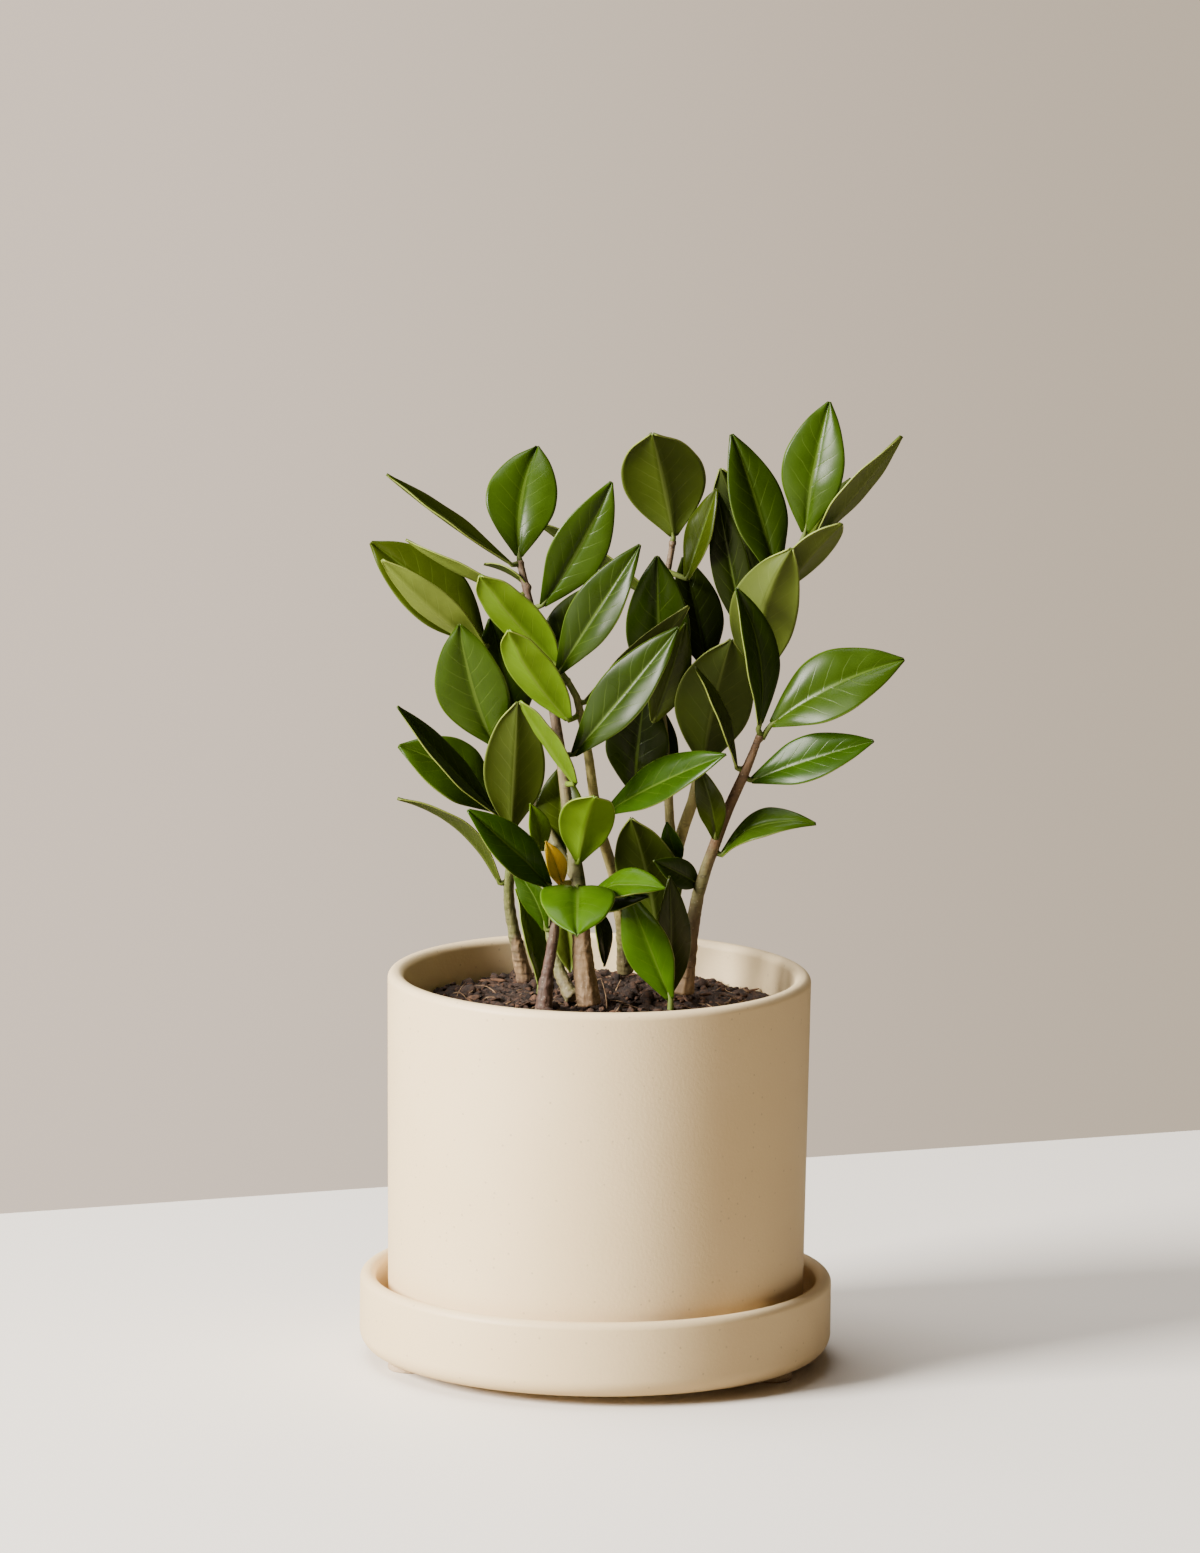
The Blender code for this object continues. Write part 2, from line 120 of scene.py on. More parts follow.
def between(start, end, share):
    return start + (end - start) * share


def ease(low, high, value):
    """A soft step from 0 at low to 1 at high; it falls where low is above high."""
    share = min(1.0, max(0.0, (value - low) / (high - low)))
    return share * share * (3 - 2 * share)


# %% [markdown]
# ## Helpers for materials
# A node is added, its inputs are linked or set, and it is returned, so a material reads from
# top to bottom. Patterns that several materials share are node groups, which put out only
# colours, masks and heights.

# %% Helpers for materials


def add_node(tree, kind, inputs=(), **settings):
    """Add a shader node. Inputs are (name or number, socket or value) pairs."""
    made = tree.nodes.new(kind)
    for key, value in settings.items():
        setattr(made, key, value)
    for key, value in inputs:
        if isinstance(value, bpy.types.NodeSocket):
            tree.links.new(value, made.inputs[key])
        else:
            made.inputs[key].default_value = value
    return made


def math_node(tree, operation, *values):
    return add_node(tree, "ShaderNodeMath", list(enumerate(values)), operation=operation).outputs[0]


def soft_step(tree, value, low, high):
    """A smooth 0 to 1 ramp of a value between low and high."""
    made = add_node(tree, "ShaderNodeMapRange",
                    [("Value", value), ("From Min", low), ("From Max", high)],
                    interpolation_type="SMOOTHSTEP")
    return made.outputs["Result"]


def mix_colour(tree, factor, first, second):
    """The first colour where the factor is 0, the second where it is 1."""
    first, second = (end if isinstance(end, bpy.types.NodeSocket) else (*end, 1.0)
                     for end in (first, second))
    made = add_node(tree, "ShaderNodeMix", [(0, factor), (6, first), (7, second)],
                    data_type="RGBA", clamp_factor=True)
    return made.outputs[2]


def noise_texture(tree, place, scale, detail, roughness=0.5):
    """Soft noise from 0 to 1; the scale is in lumps per metre."""
    made = add_node(tree, "ShaderNodeTexNoise",
                    [("Vector", place), ("Scale", scale), ("Detail", detail),
                     ("Roughness", roughness)])
    return made.outputs["Fac"]


def sway(tree, value, amount):
    """A factor that swings round 1 as a noise value swings round 0.5."""
    middle = math_node(tree, "SUBTRACT", value, 0.5)
    return math_node(tree, "MULTIPLY_ADD", middle, amount, 1.0)


def scaled(tree, colour, factor):
    return add_node(tree, "ShaderNodeVectorMath", [(0, colour), ("Scale", factor)],
                    operation="SCALE").outputs["Vector"]


def object_place(tree):
    return add_node(tree, "ShaderNodeTexCoord").outputs["Object"]


def new_group(name, inputs, outputs):
    """An empty node group with its sockets; returns the tree, its inputs and its output node."""
    tree = bpy.data.node_groups.new(name, "ShaderNodeTree")
    for socket, kind, value in inputs:
        made = tree.interface.new_socket(socket, in_out="INPUT", socket_type=kind)
        made.default_value = value
    for socket, kind in outputs:
        tree.interface.new_socket(socket, in_out="OUTPUT", socket_type=kind)
    entry = tree.nodes.new("NodeGroupInput")
    leave = tree.nodes.new("NodeGroupOutput")
    return tree, entry.outputs, leave


def give_out(tree, leave, **values):
    """Link the results of a node group to its outputs."""
    for name, value in values.items():
        tree.links.new(value, leave.inputs[name])


def place_group(tree, group, inputs=()):
    return add_node(tree, "ShaderNodeGroup", inputs, node_tree=group).outputs


def new_material(name, **shader_values):
    """A material with a Principled shader; returns the material, its tree and the shader."""
    material = bpy.data.materials.new(name)
    material.use_nodes = True
    tree = material.node_tree
    shader = tree.nodes["Principled BSDF"]
    for key, value in shader_values.items():
        shader.inputs[key.replace("_", " ")].default_value = value
    return material, tree, shader


def bump(tree, shader, height, distance):
    made = add_node(tree, "ShaderNodeBump", [("Height", height), ("Distance", distance)])
    tree.links.new(made.outputs["Normal"], shader.inputs["Normal"])


FLOAT, COLOUR = "NodeSocketFloat", "NodeSocketColor"

# %% [markdown]
# ## The leaf skin
# A ZZ leaflet has a pale midrib, a few pairs of side veins that sweep towards the tip, a thin
# light margin and a faint mottling between the veins. The pattern follows the blade, so it
# reads the blade's own UV map: U runs across from margin to margin and V from foot to tip.
# The mesh carries the same veins as shallow grooves, so it shares the vein values.

# %% Leaf skin node group
VEIN_PAIRS = 7.0
VEIN_SWEEP = 1.9
VEIN_STAGGER = 0.45


def build_leaf_skin():
    tree, given, leave = new_group(
        "leaf_skin",
        [("Tint", COLOUR, (0.1, 0.2, 0.03, 1)), ("Vein Colour", COLOUR, (0.4, 0.5, 0.2, 1)),
         ("Vein Strength", FLOAT, 0.5), ("Mottle", FLOAT, 0.3)],
        [("Colour", COLOUR), ("Height", FLOAT), ("Sheen", FLOAT)])
    place = add_node(tree, "ShaderNodeUVMap", uv_map="blade").outputs["UV"]
    split = add_node(tree, "ShaderNodeSeparateXYZ", [("Vector", place)])
    across, along = split.outputs["X"], split.outputs["Y"]
    offset = math_node(tree, "SUBTRACT", across, 0.5)
    side = math_node(tree, "MULTIPLY", math_node(tree, "ABSOLUTE", offset), 2.0)
    cloud = noise_texture(tree, object_place(tree), 110.0, 2.0)
    grain = noise_texture(tree, object_place(tree), 500.0, 1.0)
    right = math_node(tree, "GREATER_THAN", offset, 0.0)
    stagger = math_node(tree, "MULTIPLY", right, VEIN_STAGGER)
    wander = math_node(tree, "MULTIPLY", math_node(tree, "SUBTRACT", cloud, 0.5), 0.5)
    phase = math_node(tree, "MULTIPLY", along, VEIN_PAIRS + 1)
    phase = math_node(tree, "SUBTRACT", phase, math_node(tree, "MULTIPLY", side, VEIN_SWEEP))
    phase = math_node(tree, "ADD", math_node(tree, "ADD", phase, stagger), wander)
    gap = math_node(tree, "ABSOLUTE", math_node(tree, "SUBTRACT",
                                                math_node(tree, "FRACT", phase), 0.5))
    vein = soft_step(tree, gap, 0.06, 0.0)
    fade = math_node(tree, "MULTIPLY", soft_step(tree, side, 0.95, 0.35),
                     soft_step(tree, along, 0.97, 0.75))
    vein = math_node(tree, "MULTIPLY", vein, fade)
    rib_width = math_node(tree, "MULTIPLY_ADD", along, -0.05, 0.085)
    rib = math_node(tree, "SUBTRACT", 1.0, math_node(tree, "DIVIDE", side, rib_width))
    rib = soft_step(tree, rib, 0.0, 0.6)
    lines = math_node(tree, "MAXIMUM", rib, math_node(tree, "MULTIPLY", vein, 0.55))
    lines = math_node(tree, "MULTIPLY", lines, given["Vein Strength"])
    margin = math_node(tree, "MULTIPLY", soft_step(tree, side, 0.955, 0.99), 0.5)
    lines = math_node(tree, "MAXIMUM", lines, margin)
    tone = math_node(tree, "MULTIPLY", sway(tree, cloud, given["Mottle"]),
                     sway(tree, grain, 0.12))
    colour = mix_colour(tree, lines, scaled(tree, given["Tint"], tone), given["Vein Colour"])
    height = math_node(tree, "SUBTRACT", cloud, math_node(tree, "MULTIPLY", vein, 0.5))
    give_out(tree, leave, Colour=colour, Height=height, Sheen=cloud)
    return tree


LEAF_SKIN = build_leaf_skin()
print("leaf skin nodes:", len(LEAF_SKIN.nodes))

# %% [markdown]
# ## Leaf materials
# Each leaflet stores its own colours on its mesh, for the waxy upper side, the duller
# underside and the thin margin, so three materials serve dark old leaflets and lime young
# ones. The upper side is smooth enough to catch a soft highlight; the underside is matt.

# %% Leaf materials


def leaf_material(name, attribute, vein, vein_strength, mottle, roughness, spread, relief,
                  **shader_values):
    """A leaf surface; the relief is in millimetres, and spread varies the roughness."""
    material, tree, shader = new_material(name, **shader_values)
    tint = add_node(tree, "ShaderNodeAttribute", attribute_name=attribute).outputs["Color"]
    skin = place_group(tree, LEAF_SKIN, [("Tint", tint), ("Vein Colour", (*vein, 1.0)),
                                         ("Vein Strength", vein_strength),
                                         ("Mottle", mottle)])
    tree.links.new(skin["Colour"], shader.inputs["Base Color"])
    rough = math_node(tree, "MULTIPLY_ADD", skin["Sheen"], spread, roughness)
    tree.links.new(rough, shader.inputs["Roughness"])
    bump(tree, shader, skin["Height"], relief * MM)
    return material


LEAF_TOP = leaf_material("leaf_top", "top_tint", vein=(0.11, 0.17, 0.025), vein_strength=0.40,
                         mottle=0.6, roughness=0.20, spread=0.2, relief=0.05, IOR=1.24)
LEAF_UNDER = leaf_material("leaf_underside", "under_tint", vein=(0.15, 0.19, 0.04),
                           vein_strength=0.30, mottle=0.4, roughness=0.5, spread=0.15,
                           relief=0.05, IOR=1.27)
LEAF_RIM = leaf_material("leaf_margin", "rim_tint", vein=(0.30, 0.36, 0.06), vein_strength=0.0,
                         mottle=0.3, roughness=0.45, spread=0.1, relief=0.02)

# %% [markdown]
# ## Reading a leaflet from its solid
# The solid of a leaflet is a coarse folded sheet. Cutting it across with a few planes gives
# its margins and its midrib at each station, from foot to tip, and the fold tells the upper
# side. From these rows the fine blade takes its outline, arch and place.

# %% Leaflet rows
STATIONS = (0.01, 0.2, 0.37, 0.54, 0.69, 0.85, 0.99)
END_SIZE = 2.6 * MM
EDGE_SHARE = 0.12
STEMS = sorted(name for name in NODES if name.startswith("stem_"))


def stem_tree():
    """One search tree over all the stems."""
    shape = bmesh.new()
    for name in STEMS:
        shape.from_mesh(NODES[name].data)
    tree = BVHTree.FromBMesh(shape)
    shape.free()
    return tree


STEM_TREE = stem_tree()


def mean(points):
    return sum(points, Vector()) / len(points)


def widest_pair(points):
    """The two points that lie farthest apart."""
    pairs = ((first, second) for first in points for second in points)
    return max(pairs, key=lambda pair: (pair[1] - pair[0]).length)


def fold_lift(net):
    """The way the two halves of a leaflet rise from its midrib."""
    return sum(((left + right) / 2 - middle for left, middle, right in net[1:-1]), Vector())


def cut_points(shape, place, facing):
    """The corners of the section that a plane cuts out of a solid."""
    cut = shape.copy()
    geometry = list(cut.verts) + list(cut.edges) + list(cut.faces)
    made = bmesh.ops.bisect_plane(cut, geom=geometry, plane_co=place, plane_no=facing)
    points = [item.co.copy() for item in made["geom_cut"] if isinstance(item, bmesh.types.BMVert)]
    cut.free()
    return points


def read_net(node):
    """The margins and midrib of a leaflet as rows of (left, middle, right), foot first."""
    shape = merged_copy(node)
    points = [vertex.co.copy() for vertex in shape.verts]
    foot, tip = widest_pair(points)
    ends = [[point for point in points if (point - end).length < END_SIZE]
            for end in (foot, tip)]
    foot_size, tip_size = [(second - first).length for first, second in map(widest_pair, ends)]
    foot, tip = mean(ends[0]), mean(ends[1])
    if foot_size < tip_size:
        foot, tip = tip, foot
    run = (tip - foot).normalized()
    sections = [cut_points(shape, between(foot, tip, share), run) for share in STATIONS]
    shape.free()
    across = Vector()
    for section in sections[1:-1]:
        first, second = widest_pair(section)
        chord = second - first
        across += chord if chord.dot(across) >= 0 else -chord
    across = (across - run * across.dot(run)).normalized()
    net = []
    for section in sections:
        reach = [point.dot(across) for point in section]
        low, high = min(reach), max(reach)
        edge = (high - low) * EDGE_SHARE
        left = mean([point for point in section if point.dot(across) < low + edge])
        right = mean([point for point in section if point.dot(across) > high - edge])
        section.sort(key=lambda point: abs(point.dot(across) - (low + high) / 2))
        net.append([left, mean(section[:2]), right])
    if across.cross(run).dot(fold_lift(net)) > 0:
        net = [list(reversed(row)) for row in net]
    return net


nets = {name: read_net(name) for name in sorted(NODES) if name.startswith("leaflet_")}
print("leaflets read:", len(nets))

# %% [markdown]
# ## Small leaflets between the others
# A plant also has young and hidden leaflets that are too small to need a solid of their own.
# They use the same blade, drawn from a foot, a tip, a width and the way the upper side looks.

# %% Leaflets drawn from guides
BLADE_FOOT_WIDTH = 0.9
SMALL_ARCH = 1.2
SMALL_FOLD = 0.2
SMALL_LEAFLETS = {
    "small_crown_right": ((62, 8, 250), (75, 16, 270), 9, (-6, -2, 6)),
    "small_young_tip": ((-23, 9, 236), (-37, 15, 242), 10, (2, 3, 9)),
    "small_front_pale": ((-18, 0, 156), (-22, -3, 171), 8, (4, -7, 3)),
    "small_yellow": ((-12, -8, 147), (-17, -12, 161), 7, (3, -8, 3)),
    "small_hanging": ((-11, 4, 134), (-9, -2, 118), 10, (3, -8, -2)),
    "small_sliver": ((-1.5, 6, 137), (1.5, 8, 118), 8, (7, -5, 1)),
    "small_shade_left": ((-17, 9, 212), (-4, 14, 236), 13, (-3, -9, 3)),
    "small_shade_low": ((17, 20, 170), (15, 26, 200), 14, (2, -9, 1)),
    "small_grey_mix": ((21.5, 4, 110), (21, -2, 149), 13, (5, -8, 1)),
    "small_fork": ((30, 10, 144), (16, 0, 153), 9, (-2, -8, 4)),
    "small_left_inner": ((-11, 6, 154), (-13, 12, 180), 16, (-3, -9, 2)),
    "small_front_shade": ((-3, -6, 140), (15, -12, 144), 14, (2, -5, 7)),
    "small_grey_olive": ((15.5, 6, 195), (25, 2, 227), 12, (4, -8, 3)),
    "small_fork_green": ((24, 16, 150), (20, 12, 163), 7, (-3, -8, 3)),
}


def draw_net(foot, tip, width, facing):
    """A net for a small leaflet, in the same form as one that is read from a solid."""
    foot, tip, up = Vector(foot) * MM, Vector(tip) * MM, Vector(facing)
    run = (tip - foot).normalized()
    up = (up - run * up.dot(run)).normalized()
    across = run.cross(up)
    net = []
    for share in STATIONS:
        bulge = max(0.0, math.sin(math.pi * share ** 0.86)) ** 0.85
        half = max(BLADE_FOOT_WIDTH * (1 - share) + 0.2, width / 2 * bulge) * MM
        arch = up * (SMALL_ARCH * MM * 4 * share * (1 - share))
        net.append([foot + (tip - foot) * share + arch
                    + across * (half * side) + up * (abs(side) * half * SMALL_FOLD)
                    for side in (-1, 0, 1)])
    return net


for name, guide in SMALL_LEAFLETS.items():
    nets[name] = draw_net(*guide)
print("leaflets in all:", len(nets))

# %% [markdown]
# ## Colours of the leaflets
# Old leaflets are deep green, young ones lime, and an underside is a duller olive. The shade
# tone is painted shade: a darker green for leaflets that sit inside the plant, where shade
# falls. Each tone is named once, with the leaflets that have it on the side that faces the
# front; the other side follows from it.

# %% Leaflet tones
TONES = {
    # painted shade: a darker green for leaflets that sit in shade inside the plant
    "shade": (0.012, 0.020, 0.001),
    "deep": (0.016, 0.033, 0.001),
    "rich": (0.019, 0.050, 0.0004),
    "olive_dark": (0.026, 0.040, 0.0012),
    "olive": (0.036, 0.054, 0.0022),
    "leaf": (0.026, 0.054, 0.002),
    "fresh": (0.043, 0.105, 0.0006),
    "sage": (0.068, 0.094, 0.009),
    "lime": (0.088, 0.165, 0.002),
    "pale": (0.110, 0.150, 0.018),
    "yellow": (0.620, 0.360, 0.006),
}
LEAFLETS_IN = {
    # the leaflets that take the painted shade tone
    "shade": "inner_dark_low upper_shade inner_dark_right small_shade_left small_shade_low",
    "deep": "inner_dark_left crown_right_dark left_dark centre_long right_dark_oval "
            "centre_glossy small_sliver small_fork small_front_shade",
    "rich": "front_broad front_narrow centre_bright right_wide_low small_fork_green",
    "olive_dark": "crown_centre_dark right_thin lower_olive right_oval upper_behind "
                  "small_grey_mix small_left_inner",
    "olive": "crown_centre_tip left_upright right_olive crown_behind left_low left_spread "
             "centre_olive crown_left_long small_crown_right small_young_tip small_grey_olive",
    "leaf": "crown_left_tip crown_left_inner crown_right_tip right_wide_high left_round "
            "left_behind_round left_glossy right_low",
    "fresh": "front_drooping front_right_bright mix_bright",
    "sage": "crown_right_long crown_right_blunt right_lime",
    "lime": "young_upper young_middle young_lower front_round inner_young small_front_pale",
    "pale": "left_lime left_pale small_hanging",
    "yellow": "small_yellow",
}
TONE_OF = {leaflet: tone for tone, names in LEAFLETS_IN.items() for leaflet in names.split()}
FRONT = Vector((0, -1, 0.18))
DULL_UNDER = Vector((0.06, 0.09, 0.012))
WAXY_UPPER = Vector((0.03, 0.065, 0.004))
PALE_MARGIN = Vector((0.16, 0.21, 0.035))


def side_tints(name, upper_faces_front):
    """The tints of the upper side and the underside of a leaflet."""
    seen = Vector(TONES[TONE_OF[name.removeprefix("leaflet_")]])
    grey = (seen.x + seen.y + seen.z) / 3
    if upper_faces_front:
        dull = between(seen, Vector((grey, grey, grey)), 0.2)
        return seen, between(dull, DULL_UNDER, 0.4)
    return between(seen, WAXY_UPPER, 0.5), seen


# %% [markdown]
# ## The blade of a leaflet
# A blade could be sculpted, or bent from a flat sheet with curves. Here a fine grid is laid
# over the rows read from the solid, with a smooth curve through them in each direction, so
# the outline, the fold and the arch stay those of the solid. On top come a groove along the
# midrib, shallow side veins, softly domed halves and a slightly wavy margin. Solidify then
# gives the thickness, with the duller underside and the pale margin as their own materials.
# The thickness, depths and wave are in millimetres; DOME and MIDRIB_WIDTH are shares of the
# half width, and a MARGIN_CROWDING below 1 puts more columns near the margin.

# %% Blade surface
BLADE_COLUMNS = 20
BLADE_ROWS = 40
LEAF_THICKNESS = 0.45
MIDRIB_DEPTH = 0.28
MIDRIB_WIDTH = 0.06
VEIN_DEPTH = 0.07
DOME = 0.07
MARGIN_WAVE = 0.35
MARGIN_CROWDING = 0.85


def through(points, place):
    """A point on the smooth curve through a list of points, at a place from 0 to 1."""
    spans = len(points) - 1
    index = min(int(place * spans), spans - 1)
    t = place * spans - index
    b, c = points[index], points[index + 1]
    a = points[index - 1] if index else b * 2 - c
    d = points[index + 2] if index + 2 <= spans else c * 2 - b
    return (b * 2 + (c - a) * t + (a * 2 - b * 5 + c * 4 - d) * t ** 2
            + (b * 3 - a - c * 3 + d) * t ** 3) / 2


def vein_groove(side, along, right):
    """How deep the side veins are here, from 0 to 1."""
    phase = along * (VEIN_PAIRS + 1) - side * VEIN_SWEEP + VEIN_STAGGER * right
    gap = abs(phase % 1.0 - 0.5)
    return ease(0.16, 0.0, gap) * ease(0.98, 0.4, side) * ease(0.97, 0.75, along)


def blade_shape(name, net):
    """The upper surface of a leaflet with its UV map, and the way that it faces."""
    left_edge, midrib, right_edge = ([row[column] for row in net] for column in range(3))
    run = midrib[-1] - midrib[0]
    widest = max(net, key=lambda row: (row[-1] - row[0]).length)
    half = (widest[-1] - widest[0]).length / 2
    up = run.cross(widest[-1] - widest[0]).normalized()
    if up.dot(fold_lift(net)) < 0:
        up.negate()
    seed = Vector((sum(map(ord, name)) % 97, 0.0, 0.0))
    shape = bmesh.new()
    bmesh.ops.create_grid(shape, x_segments=BLADE_COLUMNS, y_segments=BLADE_ROWS, size=1.0)
    grid = {vertex: (vertex.co.x, (vertex.co.y + 1) / 2) for vertex in shape.verts}
    for vertex, (side, place) in grid.items():
        shift = math.copysign(abs(side) ** MARGIN_CROWDING, side)
        where = (shift + 1) / 2
        centre = through(midrib, place)
        edge = through(right_edge if side > 0 else left_edge, place)
        share = abs(shift)
        wave = noise.noise(seed + Vector((place * 3.1, side * 1.3, 0.0)))
        rise = DOME * half * 4 * share * (1 - share) * ease(0.0, 0.15, place)
        rise -= MIDRIB_DEPTH * MM * math.exp(-(share / MIDRIB_WIDTH) ** 2) * (1 - 0.7 * place)
        rise -= VEIN_DEPTH * MM * vein_groove(share, place, side > 0)
        rise += MARGIN_WAVE * MM * wave * share * ease(0.02, 0.2, place)
        vertex.co = centre + (edge - centre) * share + up * rise
        grid[vertex] = (where, place)
    uv = shape.loops.layers.uv.new("blade")
    for face in shape.faces:
        for loop in face.loops:
            loop[uv].uv = grid[loop.vert]
    turn_faces(shape, up)
    return shape, up


# %% [markdown]
# ## Stalks
# Each leaflet sits on the stem with a very short stalk. A ring is swept from inside the stem
# to just inside the foot of the blade, and its ends are closed. A leaflet that starts low,
# with no stem beside it, rises from the potting mix.

# %% Stalks and finished leaflets
STALK_SIDES = 10
LOW_FOOT = 118 * MM
BESIDE_STEM = 5 * MM
STALK_RADII = (1.0, 0.85, 0.75, 0.5, 0.2)
MIX_STALK_RADII = (1.3, 1.1, 0.9, 0.2)
stalk_roots = []


def swept_rod(shape, path, radii, sides=STALK_SIDES):
    """A closed rod through the points of a path, made of bridged rings."""
    rings = []
    for index, (point, radius) in enumerate(zip(path, radii)):
        ahead = path[min(index + 1, len(path) - 1)] - path[max(index - 1, 0)]
        turn = ahead.to_track_quat("Z", "Y").to_matrix().to_4x4()
        ring = bmesh.ops.create_circle(shape, segments=sides, radius=radius,
                                       matrix=Matrix.Translation(point) @ turn)["verts"]
        rings.append(ring)
    loops = [list({edge for vertex in ring for edge in vertex.link_edges}) for ring in rings]
    made = []
    for low, high in zip(loops, loops[1:]):
        made += bmesh.ops.bridge_loops(shape, edges=low + high)["faces"]
    for ring in (rings[0], rings[-1]):
        made += bmesh.ops.contextual_create(shape, geom=ring)["faces"]
    bmesh.ops.recalc_face_normals(shape, faces=made)
    return made


def stalk_path(foot, heading):
    """From inside the stem, or from the mix, to just inside the blade."""
    spot, normal, _, distance = STEM_TREE.find_nearest(foot)
    if foot.z < LOW_FOOT and distance > BESIDE_STEM:
        start = Vector((foot.x, foot.y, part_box("potting_mix")[1].z - 6 * MM))
        return [start, between(start, foot, 0.6), foot, foot + heading * 2.5 * MM], None
    start = spot - normal * 1.0 * MM
    bend = between(spot, foot, 0.5) + normal * 0.15 * MM
    return [start, bend, foot, foot + heading * 1.2 * MM, foot + heading * 3.0 * MM], start


def colour_layer(mesh, name, colours):
    """Store a colour at each vertex, from one flat list of red, green, blue and alpha."""
    layer = mesh.color_attributes.new(name, "FLOAT_COLOR", "POINT")
    layer.data.foreach_set("color", colours)


LEAF_MATERIALS = (LEAF_TOP, LEAF_UNDER, LEAF_RIM)
BLADE_THICKNESS = ("SOLIDIFY", {"thickness": LEAF_THICKNESS * MM, "offset": -1.0,
                                "material_offset": 1, "material_offset_rim": 2})


def make_leaflet(name, net):
    shape, up = blade_shape(name, net)
    shape = after_modifiers(name + "_blade", shape, [BLADE_THICKNESS], LEAF_MATERIALS)
    foot = net[0][1] - up * LEAF_THICKNESS * MM / 2
    heading = (net[1][1] - net[0][1]).normalized()
    path, root = stalk_path(foot, heading)
    radii = STALK_RADII if root else MIX_STALK_RADII
    for face in swept_rod(shape, path, [radius * MM for radius in radii]):
        face.material_index = 1
    if root:
        stalk_roots.append(root)
    stands_for = (name,) if name in NODES else ()
    piece = add_piece(name.replace("leaflet_", "leaf_"), shape,
                      LEAF_MATERIALS, stands_for)
    top, under = side_tints(name, up.dot(FRONT) > 0)
    tints = {"top_tint": top, "under_tint": under, "rim_tint": between(under, PALE_MARGIN, 0.3)}
    for layer, tint in tints.items():
        colour_layer(piece.data, layer, [*tint, 1.0] * len(piece.data.vertices))
    return piece


leaves = [make_leaflet(name, net) for name, net in nets.items()]
print("leaflets made:", len(leaves), "with", len(leaves[0].data.polygons), "faces each")

# %% [markdown]
# ## Stems
# A ZZ stem is thick and barky at the foot, with rings where old leaves were, and thin, smooth
# and green or purple-brown higher up. The coarse solid gets a small swelling at each stalk,
# and a voxel remesh melts it all into one skin, which is then smoothed and given its rings
# and furrows. The colour along a stem is stored on the mesh, from a few listed stops.

# %% Stem colours
BARK_BROWN = (0.120, 0.066, 0.030)
BARK_GREY = (0.135, 0.088, 0.048)
PAPER = (0.250, 0.160, 0.080)
PURPLE = (0.080, 0.040, 0.026)
STRAW = (0.300, 0.250, 0.085)
GREEN_GREY = (0.125, 0.120, 0.040)
GREEN = (0.100, 0.135, 0.022)
STEM_STOPS = {
    "stem_left": [(104, PURPLE), (117, PAPER), (121, BARK_GREY), (126, GREEN_GREY), (160, GREEN)],
    "stem_front_left": [(104, PURPLE), (130, PURPLE), (145, BARK_GREY)],
    "stem_front_leaning": [(104, BARK_GREY), (118, GREEN_GREY), (150, GREEN)],
    "stem_centre": [(104, BARK_BROWN), (122, PAPER), (140, BARK_BROWN), (152, GREEN_GREY),
                    (200, BARK_GREY), (225, PURPLE), (246, BARK_GREY)],
    "stem_rear": [(104, BARK_GREY), (118, GREEN_GREY), (128, STRAW), (180, STRAW), (212, GREEN)],
    "stem_right": [(104, BARK_GREY), (112, PAPER), (124, BARK_GREY), (145, GREEN_GREY),
                   (160, BARK_BROWN), (196, BARK_BROWN)],
    "stem_rear_right": [(104, BARK_GREY), (140, BARK_GREY), (156, STRAW), (200, GREEN_GREY),
                        (232, BARK_GREY), (252, BARK_GREY)],
}


def colour_at(stops, height):
    """The colour between the two stops that a height, in millimetres, lies between."""
    if height <= stops[0][0]:
        return Vector(stops[0][1])
    for (low, first), (high, second) in zip(stops, stops[1:]):
        if height <= high:
            return between(Vector(first), Vector(second), (height - low) / (high - low))
    return Vector(stops[-1][1])


# %% Stem material


def build_bark():
    tree, given, leave = new_group(
        "bark", [("Skin", COLOUR, (0.2, 0.15, 0.1, 1)), ("Streaks", FLOAT, 0.5)],
        [("Colour", COLOUR), ("Height", FLOAT)])
    solid = object_place(tree)
    long = add_node(tree, "ShaderNodeMapping", [("Vector", solid), ("Scale", (1, 1, 0.22))])
    streak = noise_texture(tree, long.outputs[0], 900.0, 5.0, 0.65)
    patch = noise_texture(tree, solid, 220.0, 3.0)
    short = add_node(tree, "ShaderNodeMapping", [("Vector", solid), ("Scale", (0.3, 0.3, 1))])
    rings = noise_texture(tree, short.outputs[0], 700.0, 2.0)
    dots = add_node(tree, "ShaderNodeTexVoronoi", [("Vector", solid), ("Scale", 750.0)])
    speck = soft_step(tree, dots.outputs["Distance"], 0.22, 0.12)
    ringed = math_node(tree, "MULTIPLY_ADD", soft_step(tree, rings, 0.60, 0.70), -0.4, 1.0)
    tone = math_node(tree, "MULTIPLY", sway(tree, streak, given["Streaks"]),
                     sway(tree, patch, 0.9))
    skin = scaled(tree, given["Skin"], math_node(tree, "MULTIPLY", tone, ringed))
    colour = mix_colour(tree, math_node(tree, "MULTIPLY", speck, 0.35), skin,
                        (0.42, 0.34, 0.22))
    height = math_node(tree, "ADD", streak, math_node(tree, "MULTIPLY", rings, 0.7))
    give_out(tree, leave, Colour=colour, Height=height)
    return tree


BARK = build_bark()
STEM_SKIN, stem_nodes, stem_shader = new_material("stem_skin", Roughness=0.66)
skin_colour = add_node(stem_nodes, "ShaderNodeAttribute", attribute_name="skin")
bark = place_group(stem_nodes, BARK, [("Skin", skin_colour.outputs["Color"]), ("Streaks", 1.1)])
stem_nodes.links.new(bark["Colour"], stem_shader.inputs["Base Color"])
bump(stem_nodes, stem_shader, bark["Height"], 0.25 * MM)

